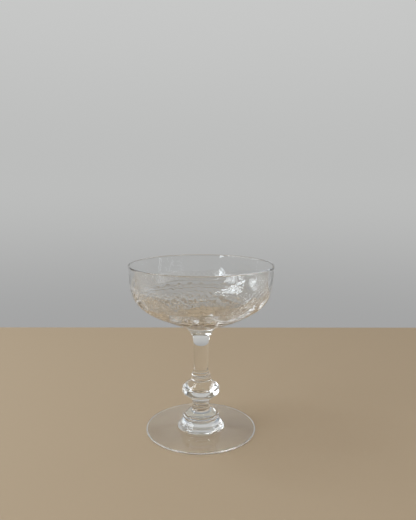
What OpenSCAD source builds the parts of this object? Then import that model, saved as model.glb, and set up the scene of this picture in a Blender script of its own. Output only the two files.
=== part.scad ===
// Coupe glass: a shallow blown bowl on a stem that is built up from hot gathers of glass.
// Every piece is turned about the Z axis. The origin is the middle of the face that it stands on.
// The heights of the pieces are stacked, so a change of one lifts all that stands above it.
// Each seat has one named diameter, which both pieces that meet there use.

/* [Bowl] */
// Diameter of the bowl at the rim
rim_d = 101; // [90:1:112]
// Height of the bowl above the edge of its seat
bowl_h = 43.8; // [38:0.2:55]
// Thickness of the wall at the rim
rim_wall = 0.9; // [0.7:0.1:1.6]
// Thickness of the glass at the bottom, over the seat
bottom_wall = 2.8; // [1.8:0.1:4]
// Diameter of the seat where the bowl is fused to the shank
seat_d = 24.4; // [20:0.2:27]
// Diameter of the ball-shaped bottom, where it passes into the belly
bottom_d = 30; // [28:0.5:36]
// Slope of the bowl's underside at that diameter, in degrees
belly_slope = 21.6; // [16:0.1:26]
// Lean of the wall at the rim, outward from upright, in degrees
rim_lean = 4.8; // [0:0.1:10]
// How far the underside runs out along its slope before it turns up
belly_reach = 38.6; // [32:0.2:44]
// How far the upright wall runs down from the rim before it turns in
wall_reach = 24.1; // [18:0.1:30]

/* [Shank] */
// Height of the shank from its lower end to the edge of the bowl's seat
shank_h = 34.9; // [28:0.1:42]
// Diameter of the plain round of the shank
shank_d = 10.4; // [8:0.1:12.4]
// Height of the flare that carries the bowl
flare_h = 19.2; // [14:0.1:22]
// Diameter of the shank's lower end
shank_end_d = 12; // [11.6:0.1:13]
// Height over which the lower end spreads
shank_end_h = 5; // [3:0.1:7]

/* [Mereses] */
// Height of the upper merese
upper_merese_h = 2.4; // [1.8:0.1:3.4]
// Outer diameter of the upper merese
upper_merese_d = 13.5; // [12.8:0.1:15]
// Diameter of the groove between the two mereses
merese_groove_d = 12.2; // [11:0.1:12.6]
// Height of the lower merese
lower_merese_h = 2.6; // [1.8:0.1:3.4]
// Outer diameter of the lower merese
lower_merese_d = 14.7; // [14:0.1:17]

/* [Knop] */
// Height of the knop between its two seats
knop_h = 15.1; // [13:0.1:19]
// Diameter of the knop at the middle of its girdle
knop_d = 26.9; // [23:0.1:31]
// Diameter of the knop's upper seat
knop_top_d = 13.2; // [12:0.1:13.8]
// Diameter of the edge on the knop's crown
crown_d = 19; // [16:0.1:21]
// Height of the crown above that edge
crown_h = 1.8; // [1:0.1:2.6]
// Height of the upright girdle
girdle_h = 4.2; // [3:0.1:5.6]
// Height of the knop's underside, from its lower seat to the girdle
knop_under_h = 5.9; // [4.5:0.1:7]
// How far the girdle's upper edge lies inside its middle, on the radius
girdle_draw_top = 0.4; // [0.2:0.05:0.8]
// How far the girdle's lower edge lies inside its middle, on the radius
girdle_draw_foot = 0.85; // [0.2:0.05:1.2]

/* [Neck] */
// Height of the small ring under the knop
neck_ring_h = 1.7; // [1.2:0.1:2.6]
// Outer diameter of that ring
neck_ring_d = 12.6; // [12.2:0.1:14]
// Diameter of the seat between the ring and the knop
knop_seat_d = 12; // [11:0.1:12.2]
// Diameter of the groove between the ring and the neck
neck_groove_d = 11; // [9:0.1:11.6]
// Height of the neck
neck_h = 5.1; // [4:0.1:8]
// Diameter of the neck at its waist
neck_d = 12.2; // [11.8:0.1:13]
// Diameter of the neck's spread lower end
neck_end_d = 15.8; // [14.4:0.1:18]

/* [Stepped collar] */
// Height of the upper step
step_upper_h = 3.2; // [2.6:0.1:5]
// Outer diameter of the upper step
step_upper_d = 22.6; // [22.2:0.1:23.4]
// Height of the upper step's upright edge
step_edge_h = 0.9; // [0.6:0.1:1.6]
// Diameter of the seat between the two steps
step_seat_d = 22; // [19.5:0.1:22.2]
// Height of the lower step
step_lower_h = 2.3; // [1.6:0.1:4]
// Outer diameter of the lower step
step_lower_d = 25.7; // [25:0.1:30]

/* [Boss and foot] */
// Height of the boss between the lower step and the foot
boss_h = 6; // [4:0.1:9]
// Diameter of the seat between the lower step and the boss
boss_top_d = 24.2; // [22.6:0.1:24.6]
// Diameter of the seat between the boss and the foot
boss_end_d = 36.4; // [32:0.2:42]
// Diameter of the foot
foot_d = 78.8; // [68:0.2:90]
// Height of the foot under the boss
foot_h = 2.9; // [2.4:0.1:5]
// Thickness of the foot at its edge
foot_edge_h = 1.2; // [0.9:0.1:1.8]
// Width of the flat ring that the foot stands on
stand_w = 1.6; // [0.8:0.1:4]
// Rise of the hollow under the foot, at the middle
hollow_h = 0.9; // [0.3:0.1:1.4]

/* [Hidden] */
$fn = 128;

// Steps along a long curve, a short curve, the rim's round and the last of the bowl's bottom
long_steps = 26;
short_steps = 10;
rim_steps = 6;
bottom_steps = 4;
// How fast the wall thins from the bottom to the rim, as a power
wall_taper = 0.5;
// Handles of the free curves, as shares of the height or the radius that each curve crosses
flare_top_shares = [0.88, 0.28];
flare_end_share = 0.53;
boss_top_shares = [0.37, 0.15];
boss_end_shares = [0.33, 0.08];
neck_spread_shares = [0.82, 0.2];
neck_rise_share = 0.45;
neck_shoulder_share = 0.14;
shank_spread_share = 0.6;
// How square an upright edge is: 1 is a full round, and less is squarer
square_edge = 0.45;
round_edge = 1;

// Heights of the seats
z_boss = foot_h;
z_step_lower = z_boss + boss_h;
z_step_upper = z_step_lower + step_lower_h;
z_neck = z_step_upper + step_upper_h;
z_neck_ring = z_neck + neck_h;
z_knop = z_neck_ring + neck_ring_h;
z_lower_merese = z_knop + knop_h;
z_upper_merese = z_lower_merese + lower_merese_h;
z_shank = z_upper_merese + upper_merese_h;
z_bowl = z_shank + shank_h;

// Cubic curve through p[0] and p[3], with p[1] and p[2] as handles, and its direction of travel
function curve_at(p, t) = pow(1 - t, 3) * p[0] + 3 * t * pow(1 - t, 2) * p[1]
                          + 3 * t * t * (1 - t) * p[2] + t * t * t * p[3];
function curve_way(p, t) = pow(1 - t, 2) * (p[1] - p[0]) + 2 * t * (1 - t) * (p[2] - p[1])
                           + t * t * (p[3] - p[2]);
function curve(p, steps) = [for (i = [0:steps]) curve_at(p, i / steps)];
function left_of(v) = [-v[1], v[0]] / norm(v);
function backwards(list) = [for (i = [len(list) - 1:-1:0]) list[i]];
function after_first(list) = [for (i = [1:len(list) - 1]) list[i]];

// Edge of a ring of height h from z up: out from radius r_low to r_mid half way up, and in to r_high
function edge_band(r_low, r_mid, r_high, z, h, squareness) = [
    for (i = [0:short_steps]) let (a = 180 * i / short_steps, r_end = a < 90 ? r_low : r_high)
        [r_end + (r_mid - r_end) * pow(sin(a), squareness), z + h * (1 - cos(a)) / 2]];

// Turns an outline, given from its lowest point on the axis to its highest, into a solid
module turned(outline) {
    rotate_extrude() polygon(outline);
}

// Ball that the bowl's bottom is part of. The shank is dished to the same ball.
bottom_ball_r = bottom_d / 2 / sin(belly_slope);
seat_slope = asin(seat_d / 2 / bottom_ball_r);
bottom_ball_z = z_bowl + bottom_ball_r * cos(seat_slope);
function ball_arc(r, low_slope, high_slope, steps) = [
    for (i = [0:steps]) let (a = low_slope + (high_slope - low_slope) * i / steps)
        [r * sin(a), bottom_ball_z - r * cos(a)]];
seat_cap = ball_arc(bottom_ball_r, 0, seat_slope, short_steps);
bottom_edge = ball_arc(bottom_ball_r, seat_slope, belly_slope, bottom_steps);

// Outer curve of the bowl's belly and wall, from the ball-shaped bottom to the rim
rim_way = [sin(rim_lean), cos(rim_lean)];
rim_point = [rim_d / 2, z_bowl + bowl_h - (1 + sin(rim_lean)) * rim_wall / 2];
bowl_curve = [
    bottom_edge[bottom_steps],
    bottom_edge[bottom_steps] + belly_reach * [cos(belly_slope), sin(belly_slope)],
    rim_point - wall_reach * rim_way,
    rim_point];
function bowl_wall(t) = bottom_wall + (rim_wall - bottom_wall) * pow(t, wall_taper);

module bowl() {
    outside = curve(bowl_curve, long_steps);
    inside = [for (i = [0:long_steps]) let (t = i / long_steps)
        curve_at(bowl_curve, t) + bowl_wall(t) * left_of(curve_way(bowl_curve, t))];
    inner_bottom = ball_arc(bottom_ball_r - bottom_wall, 0, belly_slope, short_steps);
    rim_mid = (outside[long_steps] + inside[long_steps]) / 2;
    rim_round = [for (i = [1:rim_steps - 1]) let (a = 180 * i / rim_steps)
        rim_mid + rim_wall / 2 * (rim_way * sin(a) - left_of(rim_way) * cos(a))];
    color([0.86, 0.88, 0.87, 0.45])
        turned(concat(seat_cap, after_first(bottom_edge), after_first(outside), rim_round,
                      backwards(inside), after_first(backwards(inner_bottom))));
}

module shank() {
    drop = (seat_d - shank_d) / 2;
    spread = (shank_end_d - shank_d) / 2;
    flare = curve([
        [shank_d / 2, z_bowl - flare_h],
        [shank_d / 2, z_bowl - flare_h * flare_end_share],
        [seat_d / 2 - drop * flare_top_shares[0], z_bowl - flare_h * flare_top_shares[1]],
        [seat_d / 2, z_bowl]], 2 * short_steps);
    lower_end = curve([
        [shank_end_d / 2, z_shank],
        [shank_end_d / 2 - spread * shank_spread_share, z_shank + shank_end_h * (1 - shank_spread_share)],
        [shank_d / 2, z_shank + shank_end_h * shank_spread_share],
        [shank_d / 2, z_shank + shank_end_h]], short_steps);
    color([0.84, 0.86, 0.84, 0.5])
        turned(concat([[0, z_shank]], lower_end, flare, after_first(backwards(seat_cap))));
}

module upper_merese() {
    color([0.8, 0.82, 0.82, 0.5])
        turned(concat([[0, z_upper_merese]],
                      edge_band(merese_groove_d / 2, upper_merese_d / 2, shank_end_d / 2,
                                z_upper_merese, upper_merese_h, round_edge),
                      [[0, z_shank]]));
}

module lower_merese() {
    color([0.76, 0.79, 0.8, 0.5])
        turned(concat([[0, z_lower_merese]],
                      edge_band(knop_top_d / 2, lower_merese_d / 2, merese_groove_d / 2,
                                z_lower_merese, lower_merese_h, round_edge),
                      [[0, z_upper_merese]]));
}

// The girdle is a shallow bulge between two crisp edges. The crown above it has a third edge.
module knop() {
    color([0.9, 0.91, 0.91, 0.55])
        turned(concat([[0, z_knop], [knop_seat_d / 2, z_knop]],
                      edge_band(knop_d / 2 - girdle_draw_foot, knop_d / 2, knop_d / 2 - girdle_draw_top,
                                z_knop + knop_under_h, girdle_h, round_edge),
                      [[crown_d / 2, z_lower_merese - crown_h],
                       [knop_top_d / 2, z_lower_merese],
                       [0, z_lower_merese]]));
}

module neck_ring() {
    color([0.78, 0.8, 0.79, 0.5])
        turned(concat([[0, z_neck_ring]],
                      edge_band(neck_groove_d / 2, neck_ring_d / 2, knop_seat_d / 2,
                                z_neck_ring, neck_ring_h, round_edge),
                      [[0, z_knop]]));
}

module neck() {
    spread = (neck_end_d - neck_d) / 2;
    shoulder_h = neck_h * neck_shoulder_share;
    flare = curve([
        [neck_end_d / 2, z_neck],
        [neck_end_d / 2 - spread * neck_spread_shares[0], z_neck + neck_h * neck_spread_shares[1]],
        [neck_d / 2, z_neck + neck_h * neck_rise_share],
        [neck_d / 2, z_neck_ring - shoulder_h]], short_steps);
    shoulder = [for (i = [1:short_steps]) let (a = 90 * i / short_steps)
        [neck_groove_d / 2 + (neck_d - neck_groove_d) / 2 * cos(a),
         z_neck_ring - shoulder_h * (1 - sin(a))]];
    color([0.82, 0.83, 0.81, 0.5])
        turned(concat([[0, z_neck]], flare, shoulder, [[0, z_neck_ring]]));
}

// The upper step's top slopes down from the neck to an upright edge
module step_upper() {
    color([0.88, 0.89, 0.87, 0.5])
        turned(concat([[0, z_step_upper]],
                      edge_band(step_seat_d / 2, step_upper_d / 2, step_seat_d / 2,
                                z_step_upper, step_edge_h, round_edge),
                      [[neck_end_d / 2, z_neck], [0, z_neck]]));
}

module step_lower() {
    color([0.74, 0.76, 0.76, 0.5])
        turned(concat([[0, z_step_lower]],
                      edge_band(boss_top_d / 2, step_lower_d / 2, step_seat_d / 2,
                                z_step_lower, step_lower_h, square_edge),
                      [[0, z_step_upper]]));
}

module boss() {
    run = (boss_end_d - boss_top_d) / 2;
    color([0.87, 0.88, 0.86, 0.5])
        turned(concat([[0, z_boss]],
                      curve([
                          [boss_end_d / 2, z_boss],
                          [boss_top_d / 2 + run * boss_end_shares[0], z_boss + boss_h * boss_end_shares[1]],
                          [boss_top_d / 2 + run * boss_top_shares[0],
                           z_step_lower - boss_h * boss_top_shares[1]],
                          [boss_top_d / 2, z_step_lower]], 2 * short_steps),
                      [[0, z_step_lower]]));
}

// The foot thins to a round edge, and stands on a flat ring round a shallow hollow
module foot() {
    edge_r = foot_edge_h / 2;
    edge_mid = [foot_d / 2 - edge_r, edge_r];
    stand_r = foot_d / 2 - edge_r;
    hollow_r = stand_r - stand_w;
    hollow_ball_r = (hollow_r * hollow_r + hollow_h * hollow_h) / (2 * hollow_h);
    hollow_way = asin(hollow_r / hollow_ball_r);
    hollow = [for (i = [0:short_steps]) let (a = hollow_way * i / short_steps)
        [hollow_ball_r * sin(a), hollow_h - hollow_ball_r * (1 - cos(a))]];
    edge = [for (i = [0:short_steps]) let (a = 180 * i / short_steps - 90)
        edge_mid + edge_r * [cos(a), sin(a)]];
    color([0.8, 0.82, 0.81, 0.45])
        turned(concat(hollow, edge, [[boss_end_d / 2, z_boss], [0, z_boss]]));
}

bowl();
shank();
upper_merese();
lower_merese();
knop();
neck_ring();
neck();
step_upper();
step_lower();
boss();
foot();
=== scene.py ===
# %% [markdown]
# # A coupe glass in clear crystal
# This lesson dresses the solids of a coupe glass. Each piece of the glass is turned about one
# upright axis, so almost all of the work is in drawing good half outlines and spinning them.
# The look of clear glass comes from three things: true shapes on both sides of the wall, nothing
# that bends light where two pieces are fused, and a room with pale and dark places to bend.

# %% Load the fixed frame
import math

from bisect import bisect_right

import bmesh
import bpy
from mathutils import Euler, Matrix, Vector, noise


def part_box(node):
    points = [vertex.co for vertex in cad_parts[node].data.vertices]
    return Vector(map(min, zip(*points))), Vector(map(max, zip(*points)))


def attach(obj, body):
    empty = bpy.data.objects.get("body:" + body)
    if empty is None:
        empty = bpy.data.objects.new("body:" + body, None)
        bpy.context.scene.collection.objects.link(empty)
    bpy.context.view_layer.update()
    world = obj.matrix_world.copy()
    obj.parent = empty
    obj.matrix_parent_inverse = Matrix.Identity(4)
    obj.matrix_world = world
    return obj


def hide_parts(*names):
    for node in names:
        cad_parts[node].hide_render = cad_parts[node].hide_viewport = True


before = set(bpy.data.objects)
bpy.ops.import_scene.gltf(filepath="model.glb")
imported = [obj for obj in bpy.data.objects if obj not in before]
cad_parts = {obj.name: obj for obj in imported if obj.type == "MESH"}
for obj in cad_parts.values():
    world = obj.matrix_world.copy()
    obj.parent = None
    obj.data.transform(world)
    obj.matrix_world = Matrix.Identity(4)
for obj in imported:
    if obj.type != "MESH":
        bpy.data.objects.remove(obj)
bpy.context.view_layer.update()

MM = 0.001

# %% [markdown]
# ## The camera
# The camera stands where the photograph was taken: a little above the rim, looking slightly down.
# Its place was worked out from the ovals of the rim and the foot, which only agree from one spot.

# %% Camera
CAMERA_BACK = 0.351
CAMERA_HEIGHT = 0.1729
CAMERA_PITCH, CAMERA_YAW, CAMERA_ROLL = math.radians(8.13), math.radians(0.76), math.radians(0.25)
LENS_MM, SENSOR_MM = 35.38, 36

camera_data = bpy.data.cameras.new("camera")
camera_data.lens = LENS_MM
camera_data.sensor_width = SENSOR_MM
camera = bpy.data.objects.new("camera", camera_data)
bpy.context.scene.collection.objects.link(camera)
camera.location = (0, -CAMERA_BACK, CAMERA_HEIGHT)
turn = Euler((math.pi / 2 - CAMERA_PITCH, 0, -CAMERA_YAW)).to_matrix()
roll = Euler((0, 0, CAMERA_ROLL)).to_matrix()
camera.rotation_euler = (turn @ roll).to_euler()
bpy.context.scene.camera = camera
print("camera %.0f mm back, %.0f mm up, lens %.1f mm"
      % (CAMERA_BACK / MM, CAMERA_HEIGHT / MM, LENS_MM))

# %% [markdown]
# ## Sizes that the frame gives
# The heights where one piece ends and the next begins are read from the solids. The diameters of
# the seats are hidden inside the glass, so they are written here in millimetres, as they are on
# the bench.

# %% Heights and seats
def low(node):
    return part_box(node)[0][2]


def high(node):
    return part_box(node)[1][2]


def reach(node):
    lo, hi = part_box(node)
    return min(hi[0], hi[1], -lo[0], -lo[1])


Z_BOSS, Z_STEP_LOWER, Z_STEP_UPPER = low("boss"), low("step_lower"), low("step_upper")
Z_NECK, Z_NECK_RING, Z_KNOP = low("neck"), low("neck_ring"), low("knop")
Z_LOWER_MERESE, Z_UPPER_MERESE, Z_SHANK = low("lower_merese"), low("upper_merese"), low("shank")
Z_BOWL, Z_RIM = high("shank"), high("bowl")
SEAT_R = {
    "bowl": 12.2 * MM, "shank": 6.0 * MM, "merese": 6.1 * MM, "knop_top": 6.6 * MM,
    "knop_foot": 6.0 * MM, "neck_top": 5.5 * MM, "neck_foot": 7.9 * MM, "step": 11.0 * MM,
    "boss_top": 12.1 * MM, "boss_foot": 18.2 * MM}
print("bowl seat at %.1f mm, rim at %.1f mm, rim radius %.2f mm"
      % (Z_BOWL / MM, Z_RIM / MM, reach("bowl") / MM))

# %% [markdown]
# ## Curves for outlines
# An outline is a list of points (radius, height). A cubic curve with two handles makes every free
# sweep, and a half round with a chosen squareness makes the edge of every ring.

# %% Outline helpers
def cubic(p0, p1, p2, p3, steps):
    p0, p1, p2, p3 = (Vector(p) for p in (p0, p1, p2, p3))
    points = []
    for i in range(steps + 1):
        t = i / steps
        points.append((1 - t) ** 3 * p0 + 3 * t * (1 - t) ** 2 * p1
                      + 3 * t * t * (1 - t) * p2 + t ** 3 * p3)
    return points


def ring_edge(r_low, r_mid, r_high, z, height, squareness, steps=24):
    points = []
    for i in range(steps + 1):
        a = math.pi * i / steps
        r_end = r_low if i < steps / 2 else r_high
        swell = math.sin(a) ** squareness if 0 < i < steps else 0.0
        points.append(Vector((r_end + (r_mid - r_end) * swell, z + height * (1 - math.cos(a)) / 2)))
    return points


# %% [markdown]
# ## Turning an outline into glass
# A glassmaker turns the work on the punty, and here the outline is spun about the Z axis. The
# spin merges its last step with its first, and the points on the axis are merged into poles.
# Faces where two pieces are fused get a second material that light passes straight through,
# because there is no gap of air inside a fused joint. The edges round them are kept sharp, so
# that the smooth shading of the skin doesn't bend into the joint. Crisp rings elsewhere get a
# narrow bevel, as fire polishing leaves them.

# %% Spin, mark the joints, soften the edges
TURNS, BEVEL_STEPS = 192, 3
CRISP = math.radians(14)
HAIR, SAME_PLACE = 0.0001 * MM, 0.001 * MM


def is_flat_joint(face, joints):
    centre = face.calc_center_median()
    return any(abs(centre.z - z) < SAME_PLACE and math.hypot(centre.x, centre.y) < r for z, r in joints)


def turned(name, node, outline, glass, joints=(), dish=None, soften=0.0, waves=None,
           turns=TURNS):
    bm = bmesh.new()
    verts = [bm.verts.new((p[0], 0, p[1])) for p in outline]
    edges = [bm.edges.new(pair) for pair in zip(verts, verts[1:])]
    bmesh.ops.spin(bm, geom=verts + edges, cent=(0, 0, 0), axis=(0, 0, 1),
                   angle=2 * math.pi, steps=turns, use_merge=True)
    bmesh.ops.remove_doubles(bm, verts=bm.verts, dist=HAIR)
    bmesh.ops.recalc_face_normals(bm, faces=bm.faces)
    if waves is not None:
        bm.normal_update()
        moves = [(v, waves(v.co, v.normal) * v.normal) for v in bm.verts]
        for v, move in moves:
            v.co += move
    for face in bm.faces:
        face.smooth = True
        on_dish = dish is not None and dish(face.calc_center_median())
        face.material_index = 1 if on_dish or is_flat_joint(face, joints) else 0
    borders = [e for e in bm.edges if len({f.material_index for f in e.link_faces}) == 2]
    if soften:
        crisp = [e for e in bm.edges if e not in borders and len(e.link_faces) == 2
                 and e.calc_face_angle(0) > CRISP and all(not f.material_index for f in e.link_faces)
                 and abs(e.verts[0].co.z - e.verts[1].co.z) < HAIR]
        bmesh.ops.bevel(bm, geom=crisp, offset=soften, segments=BEVEL_STEPS, profile=0.5,
                        affect="EDGES", material=-1)
    for edge in bm.edges:
        if len({f.material_index for f in edge.link_faces}) == 2:
            edge.smooth = False
    mesh = bpy.data.meshes.new(name)
    bm.to_mesh(mesh)
    bm.free()
    for face in mesh.polygons:
        face.use_smooth = True
    mesh.materials.append(glass)
    mesh.materials.append(fused_joint)
    piece = bpy.data.objects.new(name, mesh)
    bpy.context.scene.collection.objects.link(piece)
    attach(piece, "root")
    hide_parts(node)
    print("%s: %d faces, %d of them fused joint" % (
        name, len(mesh.polygons), sum(f.material_index for f in mesh.polygons)))
    return piece


# %% [markdown]
# ## The glass itself
# Lead crystal bends light more than window glass does, with an index of about 1.55. It is almost
# without colour. Hand work leaves very shallow waves in the surface, which is what makes the
# reflections in old glass tremble. Two sizes of noise feed a weak bump: long waves from the
# tools, and short ones from the mould. A third bump makes seeds, the few pinhead bubbles of old
# glass, from the cells whose own random number is high. A mix of plain glass and gloss would be
# quicker to render, but only one shader with full transmission bends and reflects by one rule.

# %% Short ways to build a material
CRYSTAL_INDEX = 1.55


def add_node(owner, kind, **settings):
    node = owner.node_tree.nodes.new(kind)
    for key, value in settings.items():
        if hasattr(node, key):
            setattr(node, key, value)
        else:
            node.inputs[key].default_value = value
    return node


def glass_material(name, transmission):
    material = bpy.data.materials.new(name)
    material.use_nodes = True
    shader = material.node_tree.nodes["Principled BSDF"]
    shader.inputs["IOR"].default_value = CRYSTAL_INDEX
    shader.inputs["Transmission Weight"].default_value = transmission
    return material, shader, add_node(material, "ShaderNodeTexCoord")


def grain(material, place, scale, detail, roughness):
    pattern = add_node(material, "ShaderNodeTexNoise", Scale=scale, Detail=detail, Roughness=roughness)
    material.node_tree.links.new(place.outputs["Object"], pattern.inputs["Vector"])
    return pattern


def relief(material, height, depth, strength=1.0, under=None):
    bump = add_node(material, "ShaderNodeBump", Strength=strength, Distance=depth)
    material.node_tree.links.new(height, bump.inputs["Height"])
    if under is not None:
        material.node_tree.links.new(under.outputs["Normal"], bump.inputs["Normal"])
    return bump


# %% Seeds
SEED_SCALE, SEED_SHARE, SEED_SIZE, SEED_DEPTH = 260.0, 0.94, 0.09, 0.06 * MM


def seeds(material, place, under):
    links = material.node_tree.links
    cells = add_node(material, "ShaderNodeTexVoronoi", Scale=SEED_SCALE)
    shares = add_node(material, "ShaderNodeSeparateColor")
    chosen = add_node(material, "ShaderNodeMath", operation="GREATER_THAN")
    chosen.inputs[1].default_value = SEED_SHARE
    dome = add_node(material, "ShaderNodeMapRange")
    dome.inputs["From Min"].default_value, dome.inputs["From Max"].default_value = SEED_SIZE, 0.0
    height = add_node(material, "ShaderNodeMath", operation="MULTIPLY")
    links.new(place.outputs["Object"], cells.inputs["Vector"])
    links.new(cells.outputs["Color"], shares.inputs[0])
    links.new(shares.outputs[0], chosen.inputs[0])
    links.new(cells.outputs["Distance"], dome.inputs["Value"])
    links.new(chosen.outputs[0], height.inputs[0])
    links.new(dome.outputs["Result"], height.inputs[1])
    return relief(material, height.outputs[0], SEED_DEPTH, under=under)


# %% Crystal, blown and solid
TOOL_SCALE, MOULD_SCALE = 38.0, 170.0


def crystal(name, tint, tool_depth, mould_depth):
    material, shader, place = glass_material(name, 1.0)
    shader.inputs["Base Color"].default_value = (*tint, 1)
    shader.inputs["Roughness"].default_value = 0.0
    tool_marks = grain(material, place, TOOL_SCALE, 2.0, 0.4)
    mould_marks = grain(material, place, MOULD_SCALE, 2.0, 0.5)
    first = relief(material, tool_marks.outputs["Fac"], tool_depth)
    second = relief(material, mould_marks.outputs["Fac"], mould_depth, under=first)
    third = seeds(material, place, second)
    material.node_tree.links.new(third.outputs["Normal"], shader.inputs["Normal"])
    return material


blown = crystal("blown_crystal", tint=(0.995, 0.998, 0.995), tool_depth=0.25 * MM, mould_depth=0.03 * MM)
solid = crystal("solid_crystal", tint=(0.985, 0.99, 0.985), tool_depth=0.10 * MM, mould_depth=0.02 * MM)
print("crystal of index %.2f: %s, %s" % (CRYSTAL_INDEX, blown.name, solid.name))


# %% [markdown]
# ## Inside a fused joint
# Where two gathers were stuck together hot there is no skin left, and light goes on as if it were
# one glass. Two skins at the same place would bend it twice and show as a grey disc. So the
# joint's faces get a material of plain transparency, on both pieces.

# %% The joint's material
def clear_joint(name):
    material = bpy.data.materials.new(name)
    material.use_nodes = True
    nodes = material.node_tree.nodes
    nodes.remove(nodes["Principled BSDF"])
    clear = add_node(material, "ShaderNodeBsdfTransparent")
    material.node_tree.links.new(clear.outputs[0], nodes["Material Output"].inputs["Surface"])
    return material


fused_joint = clear_joint("fused_joint")
print("joint material:", fused_joint.name)

# %% [markdown]
# ## Frost
# Acid leaves a finely pitted skin that scatters light, and it never bites quite evenly. So one
# noise makes the frost rougher and smoother from place to place, and a fine one pits it. The
# lines low on the belly are painted darker and browner than those above: painted shade and a
# painted brown tint that stands in for table light scattered in the frost.

# %% Frosted glass for the etched lines
SMOOTHEST, ROUGHEST = 0.25, 0.75
FROST_CLEAR, BITE_SCALE, PIT_SCALE, PIT_STRENGTH, PIT_DEPTH = 0.5, 220.0, 9000.0, 0.5, 0.01 * MM
# Painted shade: the low colour is a darker, browner frost that stands in for shade and for brown table
# light scattered in the frost, and it fades to the plain frost higher up.
LOW_FROST_PAINTED_SHADE, UNSHADED_FROST = (0.64, 0.55, 0.43), (0.93, 0.93, 0.92)
PAINTED_SHADE_FULL_Z, PAINTED_SHADE_END_Z = 95 * MM, 104 * MM


def uneven_roughness(material, pattern, shader):
    rough = add_node(material, "ShaderNodeMapRange")
    rough.inputs["To Min"].default_value, rough.inputs["To Max"].default_value = SMOOTHEST, ROUGHEST
    material.node_tree.links.new(pattern.outputs["Fac"], rough.inputs["Value"])
    material.node_tree.links.new(rough.outputs["Result"], shader.inputs["Roughness"])


def colour_by_height(material, place, shader, low_z, high_z, low_colour, high_colour):
    links = material.node_tree.links
    parts = add_node(material, "ShaderNodeSeparateXYZ")
    height = add_node(material, "ShaderNodeMapRange")
    height.inputs["From Min"].default_value, height.inputs["From Max"].default_value = low_z, high_z
    colours = add_node(material, "ShaderNodeMix", data_type="RGBA")
    colours.inputs["A"].default_value = (*low_colour, 1)
    colours.inputs["B"].default_value = (*high_colour, 1)
    links.new(place.outputs["Object"], parts.inputs[0])
    links.new(parts.outputs["Z"], height.inputs["Value"])
    links.new(height.outputs["Result"], colours.inputs["Factor"])
    links.new(colours.outputs["Result"], shader.inputs["Base Color"])


def frost(name):
    material, shader, place = glass_material(name, FROST_CLEAR)
    # Painted shade: the frost's colour runs from the painted dark brown low on the belly to the plain
    # frost above.
    colour_by_height(material, place, shader, PAINTED_SHADE_FULL_Z, PAINTED_SHADE_END_Z, LOW_FROST_PAINTED_SHADE, UNSHADED_FROST)
    uneven_roughness(material, grain(material, place, BITE_SCALE, 2.0, 0.5), shader)
    pits = grain(material, place, PIT_SCALE, 2.0, 0.6)
    pitted = relief(material, pits.outputs["Fac"], PIT_DEPTH, PIT_STRENGTH)
    material.node_tree.links.new(pitted.outputs["Normal"], shader.inputs["Normal"])
    return material


frosted = frost("etched_frost")
print("frost material:", frosted.name)

# %% [markdown]
# ## The bowl
# The bowl is blown into a mould, cracked off, and its rim ground and fire polished. The wall is
# thickest over the seat and thins towards the rim. Its bottom is part of a ball, so it sits true
# in the dished top of the stem. From there the outer curve sweeps up through the belly into a
# wall that leans outward a little at the rim. The inner curve is the same curve moved in by the
# wall at each place. The bowl could be sculpted by eye, but glass magnifies every mistake, and a
# curve that is worked out from a few sizes has none.

# %% Bowl outline
RIM_WALL, BOTTOM_WALL, WALL_TAPER = 0.9 * MM, 2.8 * MM, 0.5
BELLY_R, BELLY_SLOPE, RIM_LEAN = 15 * MM, math.radians(21.6), math.radians(4.8)
BELLY_REACH, WALL_REACH = 38.6 * MM, 24.1 * MM
BELLY_STEPS, BOTTOM_STEPS, RIM_STEPS = 72, 16, 8
BALL_R = BELLY_R / math.sin(BELLY_SLOPE)
SEAT_SLOPE = math.asin(SEAT_R["bowl"] / BALL_R)
BALL_Z = Z_BOWL + BALL_R * math.cos(SEAT_SLOPE)


def ball_arc(radius, start, end, steps=10):
    angles = [start + (end - start) * i / steps for i in range(steps + 1)]
    return [Vector((radius * math.sin(a), BALL_Z - radius * math.cos(a))) for a in angles]


rim_way = Vector((math.sin(RIM_LEAN), math.cos(RIM_LEAN)))
rim_point = Vector((reach("bowl"), Z_RIM - (1 + math.sin(RIM_LEAN)) * RIM_WALL / 2))
bottom = ball_arc(BALL_R, SEAT_SLOPE, BELLY_SLOPE)
belly_way = Vector((math.cos(BELLY_SLOPE), math.sin(BELLY_SLOPE)))
belly_curve = cubic(bottom[-1], bottom[-1] + BELLY_REACH * belly_way,
                    rim_point - WALL_REACH * rim_way, rim_point, BELLY_STEPS)
bowl_outside = bottom[:-1] + belly_curve


def inward(points, i):
    way = (points[min(i + 1, len(points) - 1)] - points[max(i - 1, 0)]).normalized()
    return Vector((-way[1], way[0]))


def wall(i):
    t = i / (len(belly_curve) - 1)
    return BOTTOM_WALL + (RIM_WALL - BOTTOM_WALL) * t ** WALL_TAPER


belly_inside = [p + wall(i) * inward(belly_curve, i) for i, p in enumerate(belly_curve)]
rim_middle = (belly_curve[-1] + belly_inside[-1]) / 2
rim_out = (belly_curve[-1] - belly_inside[-1]).normalized()
rim_round = [rim_middle + RIM_WALL / 2 * (rim_out * math.cos(a) + rim_way * math.sin(a))
             for a in (math.pi * i / RIM_STEPS for i in range(1, RIM_STEPS))]
inner_bottom = ball_arc(BALL_R - BOTTOM_WALL, 0, BELLY_SLOPE, BOTTOM_STEPS)
bowl_outline = (ball_arc(BALL_R, 0, SEAT_SLOPE) + bowl_outside[1:] + rim_round
                + belly_inside[::-1][:-1] + inner_bottom[::-1])
print("bowl outline: %d points, bottom ball of radius %.1f mm" % (len(bowl_outline), BALL_R / MM))

# %% [markdown]
# ## The waves of hand-blown glass
# Glass that was blown and turned by hand is never quite even. Its two skins swell and sink by a
# few hundredths of a millimetre over a centimetre or so, which is enough to break the straight
# edge of a table seen through it. Finer streaks run down the wall and slant a little, because
# the pipe was turning while the glass sank. All of these are real shape here, moved along each
# skin's own normal, because a bump would leave the outline and the light's path through the wall
# unchanged. They die out at the rim and at the seat, where tools held the glass true.

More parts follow.
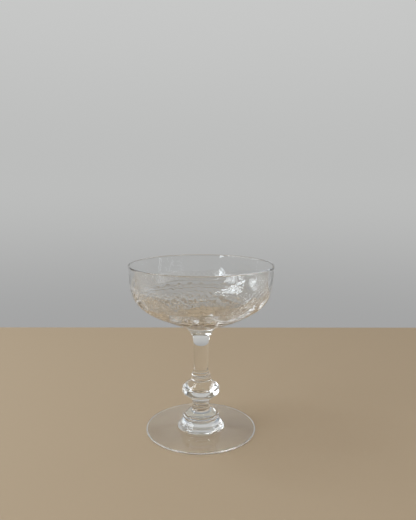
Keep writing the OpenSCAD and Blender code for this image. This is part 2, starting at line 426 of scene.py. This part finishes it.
# %% Waves
LONG_WAVE, SHORT_WAVE, STREAK_WAVE = 18 * MM, 8 * MM, 2.6 * MM
LONG_HEIGHT, SHORT_HEIGHT, STREAK_HEIGHT = 0.38 * MM, 0.085 * MM, 0.055 * MM
STREAK_SLANT, STREAK_STRETCH = 0.7, 0.25
CALM_RIM, RIM_FADE, SEAT_FADE = 3 * MM, 12 * MM, 8 * MM
OUTSIDE, INSIDE = Vector((0, 0, 0)), Vector((0, 0, 0.3))
RIM_REACH = reach("bowl")
noise.seed_set(7)
print("waves %.0f, %.0f and %.1f mm long" % (LONG_WAVE / MM, SHORT_WAVE / MM, STREAK_WAVE / MM))


def bowl_wave(place, normal):
    r = math.hypot(place.x, place.y)
    fade = min(1.0, max(0.0, (Z_RIM - CALM_RIM - place.z) / RIM_FADE))
    fade *= min(1.0, max(0.0, (r - SEAT_R["bowl"]) / SEAT_FADE))
    side = INSIDE if normal.x * place.x + normal.y * place.y < 0 else OUTSIDE
    long = noise.noise((place + side) / LONG_WAVE)
    short = noise.noise((place + side) / SHORT_WAVE)
    a = math.atan2(place.y, place.x) - STREAK_SLANT * place.z / RIM_REACH
    along = Vector((r * math.cos(a), r * math.sin(a), STREAK_STRETCH * place.z))
    streak = noise.noise(along / STREAK_WAVE + side)
    return fade * (LONG_HEIGHT * long + SHORT_HEIGHT * short + STREAK_HEIGHT * streak)


# %% Bowl
DISH_PLAY = 0.02 * MM


def on_seat_dish(point):
    away = math.hypot(math.hypot(point.x, point.y), point.z - BALL_Z)
    return abs(away - BALL_R) < DISH_PLAY and point.z < Z_BOWL


turned("bowl_glass", "bowl", bowl_outline, blown, dish=on_seat_dish, waves=bowl_wave,
       turns=2 * TURNS)

# %% [markdown]
# ## Etched lace on the belly
# Acid etching leaves fine frosted lines in the clear skin. The pattern is drawn flat on a strip,
# as an etcher's print is, and then wrapped onto the belly. The strip is stretched so that every
# small square on it stays a square on the glass, only smaller towards the stem. Lines are
# hair-thin frosted ribbons that lie just off the skin. A picture of the pattern could be laid on
# instead, but drawn strokes stay sharp from any distance and are changed by a number. All motifs
# are common ones: scales, festoons, a lattice, beads, running scrolls with leaves, rays of long
# leaves, and plain rings between the rows.

# %% From the strip to the bowl
STRIP_R = 48 * MM
LACE_TOP = 108 * MM
down = [p for p in bowl_outside[::-1] if p[1] <= LACE_TOP]
strip_down = [0.0]
for upper, lower in zip(down, down[1:]):
    strip_down.append(strip_down[-1] + STRIP_R * (lower - upper).length * 2 / (upper[0] + lower[0]))


def belly(y):
    i = min(max(bisect_right(strip_down, y) - 1, 0), len(down) - 2)
    share = (y - strip_down[i]) / (strip_down[i + 1] - strip_down[i])
    way = (down[i] - down[i + 1]).normalized()
    return down[i].lerp(down[i + 1], share), Vector((way[1], -way[0]))


def on_bowl(x, y, lift):
    place, normal = belly(y)
    a = x / STRIP_R
    skin = Vector((place[0] * math.cos(a), place[0] * math.sin(a), place[1]))
    out = Vector((normal[0] * math.cos(a), normal[0] * math.sin(a), normal[1]))
    return skin + (lift + bowl_wave(skin, out)) * out


print("lace strip: %.1f mm round, %.1f mm down to the seat"
      % (2 * math.pi * STRIP_R / MM, strip_down[-1] / MM))

# %% Strokes, in millimetres across and down a cell
CURL_TIGHTENING, LEAF_FULLNESS = 0.85, 0.75


def arc_line(points_of, steps):
    return [points_of(i / steps) for i in range(steps + 1)]


def circle(cx, cy, r, steps=10):
    return arc_line(lambda t: (cx + r * math.cos(2 * math.pi * t), cy + r * math.sin(2 * math.pi * t)),
                    steps)


def spiral(cx, cy, r_out, r_in, start, turns, steps=34):
    def point(t):
        r = r_out + (r_in - r_out) * t ** CURL_TIGHTENING
        a = math.radians(start) + 2 * math.pi * turns * t
        return cx + r * math.cos(a), cy + r * math.sin(a)
    return arc_line(point, steps)


def leaf(x, y, angle, length, width, steps=14):
    a = math.radians(angle)

    def point(t):
        along = length * (1 - abs(2 * t - 1))
        swell = math.sin(math.pi * (along / length) ** LEAF_FULLNESS)
        side = math.copysign(width / 2 * swell, 0.5 - t)
        return x + along * math.cos(a) - side * math.sin(a), y + along * math.sin(a) + side * math.cos(a)
    return arc_line(point, steps)


# %% Scales and festoons
SCALE_TOPS, SCALE_DROP, SCALE_DOT = (0.6, 2.6, 4.6, 6.6), 1.9, (0.4, 0.35)
FESTOON_TOP, FESTOON_SAGS, RUFFLE, RUFFLES = 0.9, (1.9, 3.0), 0.75, 5
FESTOON_DOTS = ((2.0, 0.5), (3.4, 0.75))


def scales(cell):
    rows = []
    for k, top in enumerate(SCALE_TOPS):
        shift = cell / 2 * (k % 2)
        rows.append(arc_line(lambda t: (shift + cell * t, top + SCALE_DROP * math.sin(math.pi * t)), 12))
    rows.append(circle(cell / 2, *SCALE_DOT, steps=7))
    return rows


def festoon(cell):
    rows = [arc_line(lambda t: (cell * t, FESTOON_TOP + sag * math.sin(math.pi * t)), 14)
            for sag in FESTOON_SAGS]
    rows.append(arc_line(lambda t: (cell * t, -RUFFLE * abs(math.sin(RUFFLES * math.pi * t))), 40))
    rows += [circle(0, *dot) for dot in FESTOON_DOTS]
    return rows


# %% Running scrolls with leaves
SCROLL_MIDDLE, SCROLL_SWING, FRILL_DROP, FRILL, FRILLS = 5.6, 3.4, 1.1, 0.85, 14
SCROLL_EYES, EYE_DROP = ((1, 0.25), (-1, 0.75)), 0.1
# Curls: millimetres beside the eye, outer and inner radius, start angle beyond upright, turns, steps
CURLS = ((0.0, 3.6, 0.5, 0, 1.75, 34), (0.2, 2.6, 0.9, 30, 1.0, 20))
# Leaves: share of the cell beside the eye, millimetres below it, angle, length, width
SCROLL_LEAVES = (
    (0.19, 1.2, -82, 3.4, 1.3), (0.19, 1.2, -58, 3.4, 1.3), (0.19, 1.2, -34, 3.4, 1.3),
    (-0.16, -3.9, -158, 3.6, 1.5), (-0.16, -3.9, -100, 3.0, 1.2))
BERRY_SHARE, BERRY_DROP, BERRY_R = 0.12, 5.1, 0.55


def scroll_wave(t):
    return SCROLL_MIDDLE + SCROLL_SWING * math.sin(2 * math.pi * t)


def scroll_frill(t):
    return scroll_wave(t) + FRILL_DROP + FRILL * abs(math.sin(FRILLS * math.pi * t))


def running_scroll(cell):
    rows = [arc_line(lambda t: (cell * t, scroll_wave(t)), 40)]
    rows.append(arc_line(lambda t: (cell * t, scroll_frill(t)), 84))
    for side, eye in SCROLL_EYES:
        cy = SCROLL_MIDDLE + side * EYE_DROP
        for beside, r_out, r_in, start, turns, steps in CURLS:
            cx = cell * eye + beside
            rows.append(spiral(cx, cy, r_out, r_in, start - 90 * side, side * turns, steps))
        for share, drop, angle, length, width in SCROLL_LEAVES:
            rows.append(leaf(cell * (eye + share), cy + side * drop, side * angle, length, width, 10))
        rows.append(circle(cell * (eye + BERRY_SHARE), cy + side * BERRY_DROP, BERRY_R))
    return rows


# %% Lattice, beads, rays and rings
LATTICE_TALL, LATTICE_CELLS, LATTICE_SWAY, LATTICE_DOTS, LATTICE_DOT_R = 9.0, 1.5, 0.1, 3, 0.5
BEAD_R = 0.62
# Long leaves: millimetres down to the tip, length, share of the cell in width, steps
RAY_LEAVES = ((1.0, 15.0, 0.62, 22), (2.6, 9.5, 0.3, 14))
RAY_TOP, RAY_LENGTH, RAY_DOT = 1.5, 12.0, (0.6, 0.7)
# Short leaves between the rays: millimetres down, angle, length, width
RAY_SPRIGS = ((4.5, 50, 3.0, 1.2), (4.5, 130, 3.0, 1.2))
RING_LINES = (14.4, 25.4, 27.8, 40.6, 58.5, 59.7, 62.5, 66.5, 71.5, 77.5)


def lattice(cell):
    rows = []
    for way in (1, -1):
        across = way * cell * LATTICE_CELLS
        rows.append(arc_line(lambda t: (across * (t - LATTICE_SWAY * math.sin(2 * math.pi * t)),
                                        LATTICE_TALL * t), 16))
    for k in range(LATTICE_DOTS):
        drop = LATTICE_TALL * (k + 0.5) / LATTICE_DOTS
        rows.append(circle(cell / 2 * (1 + k % 2), drop, LATTICE_DOT_R, steps=7))
    return rows


def bead(cell):
    return [circle(cell / 2, 0.0, BEAD_R, steps=8)]


def rays(cell):
    rows = [leaf(cell / 2, top, 90, length, share * cell, steps)
            for top, length, share, steps in RAY_LEAVES]
    rows.append(arc_line(lambda t: (0.0, RAY_TOP + RAY_LENGTH * t), 8))
    rows.append(circle(0, *RAY_DOT, steps=8))
    rows += [leaf(0, *sprig, steps=8) for sprig in RAY_SPRIGS]
    return rows


def rings(cell):
    return [arc_line(lambda t: (cell * t, y), 4) for y in RING_LINES]


# %% The rows: motif, repeats round the bowl, start in millimetres down, boldness of its lines
LACE = [
    (scales, 76, 0, 0.6), (festoon, 32, 9, 0.7), (lattice, 36, 15.4, 0.6), (bead, 84, 26.6, 1.0),
    (running_scroll, 12, 29, 1.6), (rays, 28, 41, 1.5), (rings, 24, 0, 1.2)]
print("lace: %d rows, %d plain rings" % (len(LACE) - 1, len(RING_LINES)))

# %% Ribbons
LINE_WIDTH, LINE_LIFT, LINE_FLATNESS = 0.30 * MM, 0.03 * MM, 0.12


def etched_lace(frosted):
    curve = bpy.data.curves.new("lace_strokes", "CURVE")
    curve.dimensions = "3D"
    curve.fill_mode = "FULL"
    curve.twist_mode = "Z_UP"
    curve.bevel_depth = LINE_WIDTH / 2
    curve.bevel_resolution = 0
    around = 2 * math.pi * STRIP_R
    for motif, repeats, start, boldness in LACE:
        cell = around / repeats
        for stroke in motif(cell / MM):
            for k in range(repeats):
                line = curve.splines.new("POLY")
                line.points.add(len(stroke) - 1)
                for point, (x, y) in zip(line.points, stroke):
                    point.co = (x * MM + k * cell, (y + start) * MM, 0, 1)
                    point.radius = boldness * STRIP_R / belly((y + start) * MM)[0][0]
    drawn = bpy.data.objects.new("lace_strokes", curve)
    bpy.context.scene.collection.objects.link(drawn)
    bpy.context.view_layer.update()
    flat = bpy.data.meshes.new_from_object(drawn.evaluated_get(bpy.context.evaluated_depsgraph_get()))
    bpy.data.objects.remove(drawn)
    bpy.data.curves.remove(curve)
    bm = bmesh.new()
    bm.from_mesh(flat)
    for v in bm.verts:
        shrink = belly(v.co.y)[0][0] / STRIP_R
        v.co = on_bowl(v.co.x, v.co.y, LINE_LIFT + LINE_FLATNESS * shrink * v.co.z)
    bmesh.ops.recalc_face_normals(bm, faces=bm.faces)
    mesh = bpy.data.meshes.new("etched_lace")
    bm.to_mesh(mesh)
    bm.free()
    bpy.data.meshes.remove(flat)
    mesh.materials.clear()
    mesh.materials.append(frosted)
    piece = bpy.data.objects.new("etched_lace", mesh)
    bpy.context.scene.collection.objects.link(piece)
    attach(piece, "root")
    print("etched lace: %d faces" % len(mesh.polygons))
    return piece


etched_lace(frosted)

# %% [markdown]
# ## The shank
# The shank is drawn from a gather of hot glass and stuck to the bowl while both are soft. Its
# trumpet flare spreads the load into the bowl. The top is dished to the bowl's own round, and the
# lower end spreads slightly where it meets the first ring. The flare is one cubic curve, because
# hot glass that is pulled takes a curve without a break in it.

# %% Shank
SHANK_R, FLARE_HEIGHT, END_HEIGHT = 5.2 * MM, 19.2 * MM, 5.0 * MM
END_SHARE, FLARE_FOOT_SHARE, FLARE_OUT_SHARE, FLARE_TOP_SHARE = 0.6, 0.53, 0.88, 0.28
drop = SEAT_R["bowl"] - SHANK_R
spread = SEAT_R["shank"] - SHANK_R
shank_foot = cubic(
    (SEAT_R["shank"], Z_SHANK),
    (SEAT_R["shank"] - END_SHARE * spread, Z_SHANK + (1 - END_SHARE) * END_HEIGHT),
    (SHANK_R, Z_SHANK + END_SHARE * END_HEIGHT),
    (SHANK_R, Z_SHANK + END_HEIGHT), steps=16)
flare = cubic(
    (SHANK_R, Z_BOWL - FLARE_HEIGHT),
    (SHANK_R, Z_BOWL - FLARE_FOOT_SHARE * FLARE_HEIGHT),
    (SEAT_R["bowl"] - FLARE_OUT_SHARE * drop, Z_BOWL - FLARE_TOP_SHARE * FLARE_HEIGHT),
    (SEAT_R["bowl"], Z_BOWL), steps=40)
shank_outline = [Vector((0, Z_SHANK))] + shank_foot + flare + ball_arc(BALL_R, 0, SEAT_SLOPE)[::-1][1:]
turned("shank_glass", "shank", shank_outline, solid,
       joints=[(Z_SHANK, SEAT_R["shank"])], dish=on_seat_dish)

# %% [markdown]
# ## The two rings above the knop
# Such rings are dropped on as small blobs and pressed flat between two tools, so their edges are
# full rounds and a sharp groove is left between them.

# %% Mereses
def ring_piece(name, node, top, r_low, r_mid, r_high, squareness=1.0):
    z = low(node)
    skin = ring_edge(r_low, r_mid, r_high, z, top - z, squareness)
    outline = [Vector((0, z))] + skin + [Vector((0, top))]
    return turned(name, node, outline, solid, joints=[(z, r_low), (top, r_high)])


ring_piece("upper_merese_glass", "upper_merese", Z_SHANK,
           SEAT_R["merese"], reach("upper_merese"), SEAT_R["shank"])
ring_piece("lower_merese_glass", "lower_merese", Z_UPPER_MERESE,
           SEAT_R["knop_top"], reach("lower_merese"), SEAT_R["merese"])

# %% [markdown]
# ## The knop
# The knop is the heavy part of the stem. Its girdle stands upright with a slight swell between
# two edges, the crown above it breaks once more, and the underside is a plain cone. The edges
# are left crisp, with only the softness that fire polishing gives.

# %% Knop
GIRDLE_LOW, GIRDLE_HEIGHT = Z_KNOP + 5.9 * MM, 4.2 * MM
DRAW_LOW, DRAW_HIGH = 0.85 * MM, 0.4 * MM
CROWN_R, CROWN_HEIGHT, EDGE_SOFTNESS = 9.5 * MM, 1.8 * MM, 0.18 * MM
knop_r = reach("knop")
girdle = ring_edge(knop_r - DRAW_LOW, knop_r, knop_r - DRAW_HIGH, GIRDLE_LOW, GIRDLE_HEIGHT,
                   squareness=1.0, steps=16)
knop_outline = ([Vector((0, Z_KNOP)), Vector((SEAT_R["knop_foot"], Z_KNOP))] + girdle
                + [Vector((CROWN_R, Z_LOWER_MERESE - CROWN_HEIGHT)),
                   Vector((SEAT_R["knop_top"], Z_LOWER_MERESE)), Vector((0, Z_LOWER_MERESE))])
turned("knop_glass", "knop", knop_outline, solid, soften=EDGE_SOFTNESS,
       joints=[(Z_KNOP, SEAT_R["knop_foot"]), (Z_LOWER_MERESE, SEAT_R["knop_top"])])

# %% [markdown]
# ## The neck and its ring
# Under the knop a small ring sits on a waisted neck. The neck has a round shoulder at the top and
# flares out at its foot to meet the stepped collar.

# %% Neck
ring_piece("neck_ring_glass", "neck_ring", Z_KNOP,
           SEAT_R["neck_top"], reach("neck_ring"), SEAT_R["knop_foot"])
WAIST_R, SHOULDER_STEPS = 6.1 * MM, 8
SHOULDER_SHARE, NECK_OUT_SHARE, NECK_FOOT_SHARE, NECK_RISE_SHARE = 0.14, 0.82, 0.2, 0.45
neck_height = Z_NECK_RING - Z_NECK
shoulder_height = SHOULDER_SHARE * neck_height
neck_spread = SEAT_R["neck_foot"] - WAIST_R
neck_flare = cubic(
    (SEAT_R["neck_foot"], Z_NECK),
    (SEAT_R["neck_foot"] - NECK_OUT_SHARE * neck_spread, Z_NECK + NECK_FOOT_SHARE * neck_height),
    (WAIST_R, Z_NECK + NECK_RISE_SHARE * neck_height),
    (WAIST_R, Z_NECK_RING - shoulder_height), steps=24)
shoulder = [Vector((SEAT_R["neck_top"] + (WAIST_R - SEAT_R["neck_top"]) * math.cos(a),
                    Z_NECK_RING - shoulder_height * (1 - math.sin(a))))
            for a in (math.pi / 2 * i / SHOULDER_STEPS for i in range(1, SHOULDER_STEPS + 1))]
turned("neck_glass", "neck", [Vector((0, Z_NECK))] + neck_flare + shoulder + [Vector((0, Z_NECK_RING))],
       solid, joints=[(Z_NECK, SEAT_R["neck_foot"]), (Z_NECK_RING, SEAT_R["neck_top"])])

# %% [markdown]
# ## The stepped collar
# Two discs make the collar. The upper one has a sloping top that catches the light as a pale
# ring, and the lower one is wider with a squarer edge.

# %% Steps
STEP_EDGE, ROUND_EDGE, SQUARE_EDGE = 0.9 * MM, 1.0, 0.45
upper_edge = ring_edge(SEAT_R["step"], reach("step_upper"), SEAT_R["step"], Z_STEP_UPPER,
                       STEP_EDGE, ROUND_EDGE)
turned("step_upper_glass", "step_upper", [Vector((0, Z_STEP_UPPER))] + upper_edge
       + [Vector((SEAT_R["neck_foot"], Z_NECK)), Vector((0, Z_NECK))], solid,
       joints=[(Z_STEP_UPPER, SEAT_R["step"]), (Z_NECK, SEAT_R["neck_foot"])])
ring_piece("step_lower_glass", "step_lower", Z_STEP_UPPER,
           SEAT_R["boss_top"], reach("step_lower"), SEAT_R["step"], SQUARE_EDGE)

# %% [markdown]
# ## The boss and the foot
# The boss is the last of the stem's own glass, swept out into the foot. The foot is spread thin
# with wooden boards while it is hot, and its edge is a full round. It stands on a narrow flat
# ring round a shallow hollow, so that it never rocks. The hollow is part of a large ball.

# %% Boss
BOSS_FOOT_SHARES, BOSS_TOP_SHARES = (0.33, 0.08), (0.37, 0.15)
boss_height = Z_STEP_LOWER - Z_BOSS
boss_run = SEAT_R["boss_foot"] - SEAT_R["boss_top"]
boss_curve = cubic(
    (SEAT_R["boss_foot"], Z_BOSS),
    (SEAT_R["boss_top"] + BOSS_FOOT_SHARES[0] * boss_run, Z_BOSS + BOSS_FOOT_SHARES[1] * boss_height),
    (SEAT_R["boss_top"] + BOSS_TOP_SHARES[0] * boss_run,
     Z_STEP_LOWER - BOSS_TOP_SHARES[1] * boss_height),
    (SEAT_R["boss_top"], Z_STEP_LOWER), steps=40)
turned("boss_glass", "boss", [Vector((0, Z_BOSS))] + boss_curve + [Vector((0, Z_STEP_LOWER))],
       solid, joints=[(Z_BOSS, SEAT_R["boss_foot"]), (Z_STEP_LOWER, SEAT_R["boss_top"])])

# %% Foot
FOOT_EDGE, STAND_WIDTH, HOLLOW, WORN_REACH = 1.2 * MM, 1.6 * MM, 0.9 * MM, 1.1 * MM
HOLLOW_STEPS, FOOT_EDGE_STEPS = 24, 16
foot_r = reach("foot")
edge_middle = Vector((foot_r - FOOT_EDGE / 2, FOOT_EDGE / 2))
hollow_r = edge_middle[0] - STAND_WIDTH
hollow_ball = (hollow_r ** 2 + HOLLOW ** 2) / (2 * HOLLOW)
hollow_way = math.asin(hollow_r / hollow_ball)
hollow = [Vector((hollow_ball * math.sin(a), HOLLOW - hollow_ball * (1 - math.cos(a))))
          for a in (hollow_way * i / HOLLOW_STEPS for i in range(HOLLOW_STEPS + 1))]
foot_edge = [edge_middle + FOOT_EDGE / 2 * Vector((math.cos(a), math.sin(a)))
             for a in (math.pi * (i / FOOT_EDGE_STEPS - 0.5) for i in range(FOOT_EDGE_STEPS + 1))]
foot = turned("foot_glass", "foot", hollow + [Vector((foot_r - WORN_REACH, 0))] + foot_edge
              + [Vector((SEAT_R["boss_foot"], Z_BOSS)), Vector((0, Z_BOSS))], solid,
              joints=[(Z_BOSS, SEAT_R["boss_foot"])])

# %% [markdown]
# ## The worn ring
# A glass that has stood on many tables is finely scratched where it touches them. The faces
# round the very edge of the foot's underside get a third material, made as the frost is but with
# finer scratches. Seen from above through the foot, they make the thin pale line round the
# glass. A texture mask would do it too, but here a ring of whole faces is exactly the ring.

# %% Worn glass
WORN_COLOUR, WORN_CLEAR, SCRATCH_SCALE = (0.80, 0.83, 0.88), 0.6, 2600.0
SCRATCH_STRENGTH, SCRATCH_DEPTH, WORN_TOP = 0.4, 0.03 * MM, 0.12 * MM


def worn(name):
    material, shader, place = glass_material(name, WORN_CLEAR)
    shader.inputs["Base Color"].default_value = (*WORN_COLOUR, 1)
    scratches = grain(material, place, SCRATCH_SCALE, 3.0, 0.6)
    uneven_roughness(material, scratches, shader)
    scratched = relief(material, scratches.outputs["Fac"], SCRATCH_DEPTH, SCRATCH_STRENGTH)
    material.node_tree.links.new(scratched.outputs["Normal"], shader.inputs["Normal"])
    return material


foot.data.materials.append(worn("worn_ring"))
for face in foot.data.polygons:
    if face.center.z < WORN_TOP and face.center.xy.length > foot_r - WORN_REACH:
        face.material_index = 2
print("worn ring: %d faces" % sum(f.material_index == 2 for f in foot.data.polygons))

# %% [markdown]
# ## The room
# The floor is a plain pale board whose far edge lies a little below the bowl, as the table's edge
# does in the photograph. It lies a hair under the foot, because two faces at exactly the same
# place would spoil each other's shading. Behind it is nothing but the room's soft light.

# %% Floor
FLOOR_COLOUR, FLOOR_ROUGHNESS = (0.42, 0.335, 0.235), 0.8
FLOOR_BACK, FLOOR_FRONT, FLOOR_SIDE, FLOOR_GAP = 0.266, -1.0, 1.0, 0.02 * MM


def matt(name, colour, roughness):
    material = bpy.data.materials.new(name)
    material.use_nodes = True
    shader = material.node_tree.nodes["Principled BSDF"]
    shader.inputs["Base Color"].default_value = (*colour, 1)
    shader.inputs["Roughness"].default_value = roughness
    return material


bm = bmesh.new()
bm.faces.new([bm.verts.new((x, y, -FLOOR_GAP)) for x, y in (
    (-FLOOR_SIDE, FLOOR_FRONT), (FLOOR_SIDE, FLOOR_FRONT),
    (FLOOR_SIDE, FLOOR_BACK), (-FLOOR_SIDE, FLOOR_BACK))])
floor_mesh = bpy.data.meshes.new("floor")
bm.to_mesh(floor_mesh)
bm.free()
floor_mesh.materials.append(matt("pale_floor", FLOOR_COLOUR, FLOOR_ROUGHNESS))
floor = bpy.data.objects.new("floor", floor_mesh)
bpy.context.scene.collection.objects.link(floor)
print("floor: %.2f m wide, its far edge %.0f mm behind the glass" % (2 * FLOOR_SIDE, FLOOR_BACK / MM))

# %% [markdown]
# ## The light of the room
# Clear glass has no look of its own and shows the room that it stands in, so the room is made
# with some care. One ramp over the height gives a grey wall that is lighter higher up, then a
# dark band, a warm ceiling and a lighter opening overhead. A second ramp darkens the near half,
# behind the camera. Those dark places are what draws the dark lines in the stem.

# %% Walls and ceiling
ROOM_GREYS = [(-0.27, (0.370, 0.372, 0.372)), (0.01, (0.505, 0.510, 0.505)), (0.40, (0.58, 0.585, 0.58)),
              (0.46, (0.165, 0.20, 0.25)), (0.56, (0.165, 0.20, 0.25)), (0.61, (0.46, 0.44, 0.38)),
              (0.76, (0.46, 0.43, 0.36)), (0.83, (0.26, 0.235, 0.19)), (0.97, (0.62, 0.58, 0.50))]
NEAR_SIDE, NEAR_FROM, NEAR_TO = (0.55, 0.53, 0.50), 0.55, 0.05
world = bpy.data.worlds.new("soft_room")
bpy.context.scene.world = world
world.use_nodes = True
nodes, links = world.node_tree.nodes, world.node_tree.links
place = add_node(world, "ShaderNodeTexCoord")
parts = add_node(world, "ShaderNodeSeparateXYZ")
lift = add_node(world, "ShaderNodeMapRange")
greys = add_node(world, "ShaderNodeValToRGB")
lift.inputs["From Min"].default_value, lift.inputs["From Max"].default_value = -1.0, 1.0
greys.color_ramp.interpolation = "EASE"
stops = greys.color_ramp.elements
while len(stops) < len(ROOM_GREYS):
    stops.new(1.0)
for stop, (height, grey) in zip(stops, ROOM_GREYS):
    stop.position = (height + 1) / 2
    stop.color = (*grey, 1)
links.new(place.outputs["Generated"], parts.inputs[0])
links.new(parts.outputs["Z"], lift.inputs["Value"])
links.new(lift.outputs["Result"], greys.inputs["Fac"])
near = add_node(world, "ShaderNodeMapRange", interpolation_type="SMOOTHSTEP")
near.inputs["From Min"].default_value, near.inputs["From Max"].default_value = NEAR_FROM, NEAR_TO
dim = add_node(world, "ShaderNodeMix", data_type="RGBA", blend_type="MULTIPLY")
dim.inputs["B"].default_value = (*NEAR_SIDE, 1)
links.new(parts.outputs["Y"], near.inputs["Value"])
links.new(near.outputs["Result"], dim.inputs["Factor"])
links.new(greys.outputs["Color"], dim.inputs["A"])
links.new(dim.outputs["Result"], nodes["Background"].inputs["Color"])
print("room: %d greys from the floor up" % len(ROOM_GREYS))

# %% [markdown]
# ## Even light for the floor
# The dark band and the dark half would also darken the floor. A ray that has bounced off a matt
# face has a diffuse depth above nought, and the room shows such rays one even warm grey, which
# the bluish windows make neutral. So the glass gets its contrast, and the floor keeps about the
# colour that it was given.

# %% What the floor sees
FLOOR_LIGHT = (0.59, 0.535, 0.47)
path = add_node(world, "ShaderNodeLightPath")
on_floor = add_node(world, "ShaderNodeMath", operation="GREATER_THAN")
on_floor.inputs[1].default_value = 0.5
soft = add_node(world, "ShaderNodeBackground", Color=(*FLOOR_LIGHT, 1))
either = add_node(world, "ShaderNodeMixShader")
links.new(path.outputs["Diffuse Depth"], on_floor.inputs[0])
links.new(on_floor.outputs[0], either.inputs[0])
links.new(nodes["Background"].outputs[0], either.inputs[1])
links.new(soft.outputs[0], either.inputs[2])
links.new(either.outputs[0], nodes["World Output"].inputs["Surface"])
print("light on the floor:", FLOOR_LIGHT)

# %% [markdown]
# ## Windows
# Clear glass is seen by what it reflects, so the windows matter more than usual. Three panes side
# by side on the left give the broken white patch inside the bowl and light the right side of the
# knop. Two tall narrow panes and a high one give the crisp lights on the left of each ring. A
# pane nearer the camera and one further back give the small patches beside the large one. Two
# dim pale cards on the right are seen in the left side of the knop and of the boss. All of them
# have a little of the sky's blue. Spot lamps would be simpler, but glass would show them as dots.

# %% Lamps
SKY = (0.87, 0.94, 1.0)
WINDOW_DISTANCE, AIM = 1.2, Vector((0, 0, 0.08))


def window(name, azimuth, elevation, width, height, watts):
    light = bpy.data.lights.new(name, "AREA")
    light.shape = "RECTANGLE"
    light.size, light.size_y = width, height
    light.energy = watts
    light.color = SKY
    lamp = bpy.data.objects.new(name, light)
    bpy.context.scene.collection.objects.link(lamp)
    a, e = math.radians(azimuth), math.radians(elevation)
    way = Vector((math.sin(a) * math.cos(e), -math.cos(a) * math.cos(e), math.sin(e)))
    lamp.location = AIM + WINDOW_DISTANCE * way
    lamp.rotation_euler = way.to_track_quat("Z", "Y").to_euler()
    print("%s: %.2f by %.2f m, %.1f W" % (name, width, height, watts))
    return lamp


for k, azimuth in enumerate((-50, -58, -66)):
    window("window_left_%d" % (k + 1), azimuth, 21, 0.11, 0.54, 0.95)
for k, azimuth in enumerate((-77, -84)):
    window("window_tall_%d" % (k + 1), azimuth, 33, 0.05, 1.10, 1.7)
window("window_high", -104, 58, 0.22, 0.50, 3.0)
window("window_front", -36, 12, 0.16, 0.32, 1.1)
window("window_back_left", -106, 11, 0.38, 0.25, 1.3)
window("card_right", 77, 17, 0.40, 0.40, 0.4)
window("card_back_right", 126, 26, 0.40, 0.44, 0.4)

# %% [markdown]
# ## Light paths
# A ray may cross twenty skins before it leaves this glass, and a ray that runs out of bounces
# comes back black. So the limits are far above the usual ones. The renderer can also blur sharp
# reflections after the first to save time, and that is turned off, because it would wash out
# every small light in the stem.

# %% Light paths and colour
BOUNCES, CLEAR_CROSSINGS = 80, 96
scene = bpy.context.scene
scene.view_settings.view_transform = "Standard"
scene.cycles.max_bounces = BOUNCES
scene.cycles.transmission_bounces = BOUNCES
scene.cycles.glossy_bounces = BOUNCES
scene.cycles.transparent_max_bounces = CLEAR_CROSSINGS
scene.cycles.blur_glossy = 0.0
print("up to %d bounces" % scene.cycles.max_bounces)
